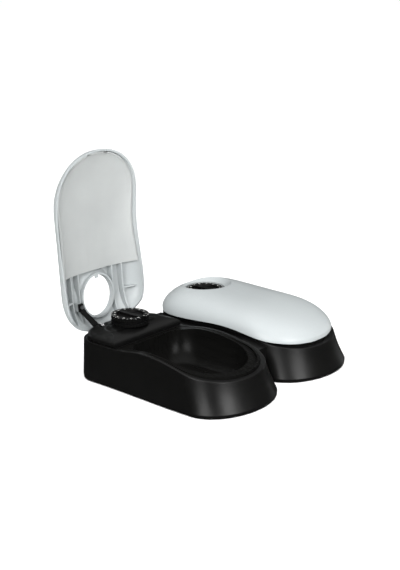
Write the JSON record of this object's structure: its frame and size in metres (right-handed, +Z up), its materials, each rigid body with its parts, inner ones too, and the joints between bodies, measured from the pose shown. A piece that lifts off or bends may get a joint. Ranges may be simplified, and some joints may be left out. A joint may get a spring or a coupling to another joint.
{
  "type": "automatic pet feeder",
  "caption": "Timed pet feeder with a twin base, drop-in bowls and domed grey lids that swing up on rear arms when their knurled timer dials run out.",
  "frame": {"origin": "middle of the base footprint, at the floor, on the underside of the middle rubber foot", "axes": "+X to the feeder's right seen from the front, +Y to the back where the lids hinge, +Z up"},
  "size_m": [0.2736, 0.2663, 0.2608],
  "materials": {
    "base_black": "fine moulded satin",
    "bowl_black": "smooth satin",
    "lid_grey": "soft gloss",
    "liner_grey": "satin",
    "dial_black": "satin with white marks",
    "arm_black": "satin",
    "foot_rubber": "matt",
    "screw_steel": "zinc plated",
    "pin_steel": "ground",
    "spring_steel": "drawn wire",
    "gear_white": "moulded acetal",
    "timer_grey": "moulded",
    "battery_wrap": "plain printed wrap, no marks",
    "contact_metal": "nickel plated"
  },
  "bodies": {
    "base": {"housing_left": "base_black", "housing_right": "base_black", "housing_bridge": "base_black", "base_plate": "base_black", "rubber_feet": "foot_rubber", "plate_screws": "screw_steel", "bowl_well_left": "base_black", "bowl_left": "bowl_black", "hinge_pin_left": "pin_steel", "timer_movement_left": "timer_grey", "timer_case_left": "timer_grey", "case_screws_left": "screw_steel", "battery_left": "battery_wrap", "battery_contacts_left": "contact_metal", "battery_door_left": "base_black", "lid_spring_left": "spring_steel", "bowl_well_right": "base_black", "bowl_right": "bowl_black", "hinge_pin_right": "pin_steel", "timer_movement_right": "timer_grey", "timer_case_right": "timer_grey", "case_screws_right": "screw_steel", "battery_right": "battery_wrap", "battery_contacts_right": "contact_metal", "battery_door_right": "base_black", "lid_spring_right": "spring_steel"},
    "lid_left": {"lid_left": "lid_grey", "lid_liner_left": "liner_grey", "lid_arm_left": "arm_black", "arm_screw_left": "screw_steel"},
    "dial_left": {"timer_dial_left": "dial_black", "dial_shaft_left": "pin_steel", "drive_gear_left": "gear_white"},
    "pinion_left": {"motor_pinion_left": "gear_white"},
    "lid_right": {"lid_right": "lid_grey", "lid_liner_right": "liner_grey", "lid_arm_right": "arm_black", "arm_screw_right": "screw_steel"},
    "dial_right": {"timer_dial_right": "dial_black", "dial_shaft_right": "pin_steel", "drive_gear_right": "gear_white"},
    "pinion_right": {"motor_pinion_right": "gear_white"}
  },
  "joints": [
    {"name": "lid_left_hinge", "type": "hinge", "parent": "base", "child": "lid_left", "pos_m": [-0.07, 0.113, 0.051], "axis": [-1, 0, 0], "range_deg": [-96, 0], "deforming": ["lid_spring_left"]},
    {"name": "dial_left_turn", "type": "hinge", "parent": "base", "child": "dial_left", "pos_m": [-0.07, 0.079, 0.0656], "axis": [0, 0, -1], "range_deg": [0, 330]},
    {"name": "pinion_left_turn", "type": "hinge", "parent": "base", "child": "pinion_left", "pos_m": [-0.07, 0.05905, 0.04], "axis": [0, 0, -1], "range_deg": [-1440, 90]},
    {"name": "lid_right_hinge", "type": "hinge", "parent": "base", "child": "lid_right", "pos_m": [0.07, 0.113, 0.051], "axis": [-1, 0, 0], "range_deg": [0, 96], "deforming": ["lid_spring_right"]},
    {"name": "dial_right_turn", "type": "hinge", "parent": "base", "child": "dial_right", "pos_m": [0.07, 0.079, 0.0656], "axis": [0, 0, -1], "range_deg": [0, 330]},
    {"name": "pinion_right_turn", "type": "hinge", "parent": "base", "child": "pinion_right", "pos_m": [0.07, 0.05905, 0.04], "axis": [0, 0, -1], "range_deg": [-1440, 90]}
  ],
  "couplings": [
    {"joint": "pinion_left_turn", "follows": "dial_left_turn", "ratio": -3.6667},
    {"joint": "pinion_right_turn", "follows": "dial_right_turn", "ratio": -3.6667}
  ]
}
